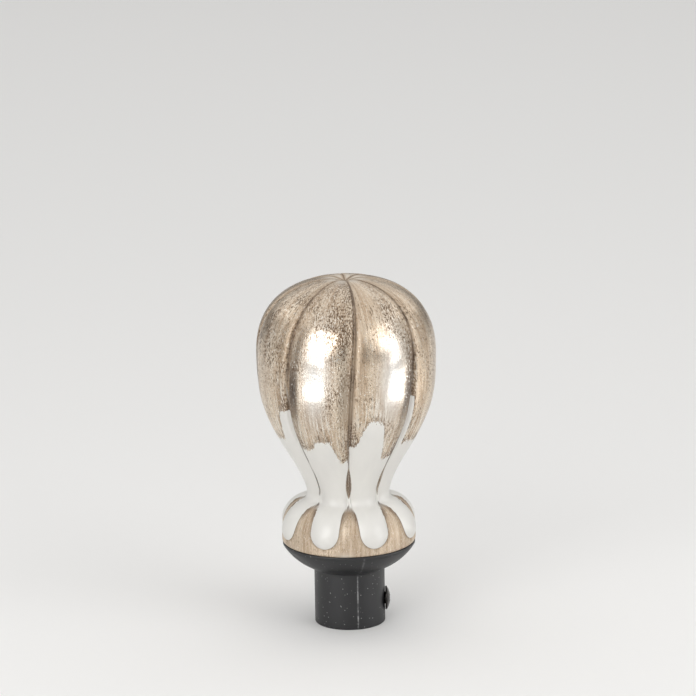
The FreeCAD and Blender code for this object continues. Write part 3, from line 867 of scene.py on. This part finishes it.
def buildGripScrew(shape, material):
    length = gripHigh.x - gripLow.x
    middle = (gripLow.z + gripHigh.z) / 2
    headRadius = (gripHigh.z - gripLow.z) / 2
    chamfer, pointChamfer = shape["headChamfer"], shape["pointChamfer"]
    under = boreRadius + socketShape["wall"] + shape["standOff"] - gripLow.x
    edgeTop = under + shape["headEdge"]
    crown = length - under - shape["headEdge"]
    dome = (headRadius ** 2 + crown ** 2) / (2 * crown)
    path = [(shape["shank"] - pointChamfer, 0), (shape["shank"], pointChamfer)]
    path += [(shape["shank"], h) for h in np.linspace(pointChamfer, under, shape["shankRows"])[1:]]
    path += [(headRadius - chamfer, under), (headRadius, under + chamfer), (headRadius, edgeTop)]
    path += arcBetween((headRadius, edgeTop), (0, length), dome, 1, shape["domeRows"])
    points, faces = turnedScrew(path, (0, under), shape)
    points[-1, 2] = length
    # the screw points along +X from inside the socket
    points = np.stack([points[:, 2] + gripLow.x, points[:, 1], middle - points[:, 0]], axis=-1)
    screw = addPiece("gripScrew", points, faces, material, "grip_screw")
    place = (Matrix.Translation((gripLow.x, 0, middle)) @ Matrix.Rotation(math.pi / 2, 4, "Y")
             @ Matrix.Rotation(shape["slotTurn"], 4, "Z"))
    cutCross(screw, shape, length, place)
    print("grip screw", len(screw.data.polygons), "faces")


def buildFixingScrew(shape, material):
    length = fixingHigh.z - fixingLow.z
    headRadius = fixingHigh.x
    shank, point = shape["shank"], shape["point"]
    inset, lip = shape["headChamfer"]
    path = [(headRadius - inset, 0), (headRadius, lip), (shank, shape["headHeight"])]
    path += [(shank, h) for h in np.linspace(shape["headHeight"], length - point, shape["shankRows"])[1:]]
    path += [(shank * (1 - share), length - point * (1 - share))
             for share in np.linspace(0, shape["pointEnd"], shape["pointRows"])[1:]]
    points, faces = turnedScrew(path, (shape["plainShank"], length), shape)
    points[:, 2] += fixingLow.z
    screw = addPiece("fixingScrew", points, faces, material, "fixing_screw")
    place = Matrix.Translation((0, 0, fixingLow.z)) @ Matrix.Rotation(math.pi, 4, "X")
    cutCross(screw, shape, 0, place)
    print("fixing screw", len(screw.data.polygons), "faces")


# Blackened steel: a thin oxide on a rolled and upset screw, dark with a soft metallic shine.
# Zinc plated steel: pale, slightly warm and brighter.
steelLooks = {      # grainSize and grainHeight are in mm
    "blackened steel": {"colour": "#2E2C2B", "worn": "#464240", "rough": (0.16, 0.26),
                        "grainSize": 0.4, "grainHeight": 0.02},
    "zinc plated steel": {"colour": "#A9A79B", "worn": "#C9C7BE", "rough": (0.28, 0.42),
                          "grainSize": 0.5, "grainHeight": 0.02},
}


def screwSteel(name):
    look = steelLooks[name]
    material, add = newMaterial(name)
    inMm = add("VectorMath", {0: add("TexCoord").outputs["Object"], "Scale": 1 / mm}, operation="SCALE")
    grain = add("TexNoise", {"Vector": inMm, "Scale": 1 / look["grainSize"], "Detail": 3.0})
    wear = add("MapRange", {"Value": grain, "From Min": 0.5, "From Max": 0.75})
    colour = add("Mix", {0: wear, 6: look["colour"], 7: look["worn"]}, data_type="RGBA")
    rough = add("MapRange", {"Value": grain, "From Min": 0.3, "From Max": 0.7,
                             "To Min": look["rough"][0], "To Max": look["rough"][1]})
    bump = add("Bump", {"Height": grain, "Strength": 0.3, "Distance": look["grainHeight"] * mm})
    shader = add("BsdfPrincipled", {"Base Color": colour, "Roughness": rough, "Normal": bump,
                                    "Metallic": 1.0})
    add("OutputMaterial", {"Surface": shader})
    return material


buildGripScrew(gripShape, screwSteel("blackened steel"))
buildFixingScrew(fixingShape, screwSteel("zinc plated steel"))


# Floor, light and camera

stageSetup = {
    "floorSize": 6.0,
    "floorColour": "#F3F2F0",
    "floorRough": 0.8,
    "worldColour": "#F4F4F4",
    "worldStrength": 0.2,
    # lamps: place in metres, width and height, watts, and roll in degrees
    "glossBoxes": {     # these only shape the gloss
        "softboxLeft": ((-0.241, -0.32, 0.215), (0.29, 0.38), 0.72, -17),
        "softboxRight": ((0.35, -0.194, 0.17), (0.15, 0.27), 0.27, 17),
        "cardLeft": ((-0.136, -0.146, 0.0195), (0.13, 0.035), 0.0395, 0),
        "cardRight": ((0.183, -0.05, 0.022), (0.138, 0.044), 0.053, 0),
        "sideLeft": ((-1.2, 0.3, 0.6), (1.2, 1.2), 2.2, 0),
        "sideRight": ((1.2, 0.3, 0.6), (1.2, 1.2), 2.2, 0),
    },
    "lightBoxes": {
        "fillLeft": ((-0.5, -0.9, 0.6), (0.8, 0.8), 4.6, 0),
        "fillRight": ((0.8, -0.6, 0.6), (0.8, 0.8), 3.7, 0),
        "softboxFront": ((0.0, -1.8, 1.2), (1.6, 0.9), 2.4, 0),
        "softboxTop": ((0.0, 0.5, 1.6), (4.0, 4.0), 40.0, 0),
    },
    "lightAim": (0, 0, 0.09),
}
cameraSetup = {
    "distance": 1.2,
    "elevation": math.radians(14),
    "aim": (0.00065, 0.0, 0.0918),
    "pictureWidth": 0.2245,         # metres across the picture at the object
    "sensorWidth": 36.0,
    "roll": math.radians(-0.9),
}


def aimAt(item, target, roll):
    turn = (Vector(target) - item.location).to_track_quat("-Z", "Y").to_matrix()
    item.rotation_euler = (turn @ Matrix.Rotation(roll, 3, "Z")).to_euler()


def buildStage(setup):
    size = setup["floorSize"]
    mesh = bpy.data.meshes.new("floor")
    corners = [(-size, -size, 0), (size, -size, 0), (size, size, 0), (-size, size, 0)]
    mesh.from_pydata(corners, [], [(0, 1, 2, 3)])
    material, add = newMaterial("matt pale floor")
    shader = add("BsdfPrincipled", {"Base Color": setup["floorColour"], "Roughness": setup["floorRough"]})
    add("OutputMaterial", {"Surface": shader})
    mesh.materials.append(material)
    floor = bpy.data.objects.new("floor", mesh)
    bpy.context.scene.collection.objects.link(floor)
    world = bpy.data.worlds.new("paleStudio")
    world.use_nodes = True
    tree = world.node_tree
    tree.nodes.clear()
    back = addNode(tree, "Background", {"Color": setup["worldColour"], "Strength": setup["worldStrength"]})
    addNode(tree, "OutputWorld", {"Surface": back})
    bpy.context.scene.world = world
    boxes = {**setup["glossBoxes"], **setup["lightBoxes"]}
    for name, (place, (width, high), power, roll) in boxes.items():
        light = bpy.data.lights.new(name, "AREA")
        light.shape = "RECTANGLE"
        light.size, light.size_y = width, high
        light.energy = power
        lamp = bpy.data.objects.new(name, light)
        lamp.location = place
        lamp.visible_diffuse = name in setup["lightBoxes"]
        lamp.visible_camera = False
        bpy.context.scene.collection.objects.link(lamp)
        aimAt(lamp, setup["lightAim"], math.radians(roll))
    print("stage and", len(boxes), "softboxes")


def buildCamera(setup):
    data = bpy.data.cameras.new("photoCamera")
    camera = bpy.data.objects.new("photoCamera", data)
    bpy.context.scene.collection.objects.link(camera)
    back = Vector((0, -math.cos(setup["elevation"]), math.sin(setup["elevation"])))
    camera.location = Vector(setup["aim"]) + back * setup["distance"]
    aimAt(camera, setup["aim"], setup["roll"])
    data.sensor_width = setup["sensorWidth"]
    data.lens = data.sensor_width * setup["distance"] / setup["pictureWidth"]
    bpy.context.scene.camera = camera
    print("camera lens", round(data.lens, 1), "mm")


buildStage(stageSetup)
buildCamera(cameraSetup)
bpy.context.scene.view_settings.view_transform = "Standard"
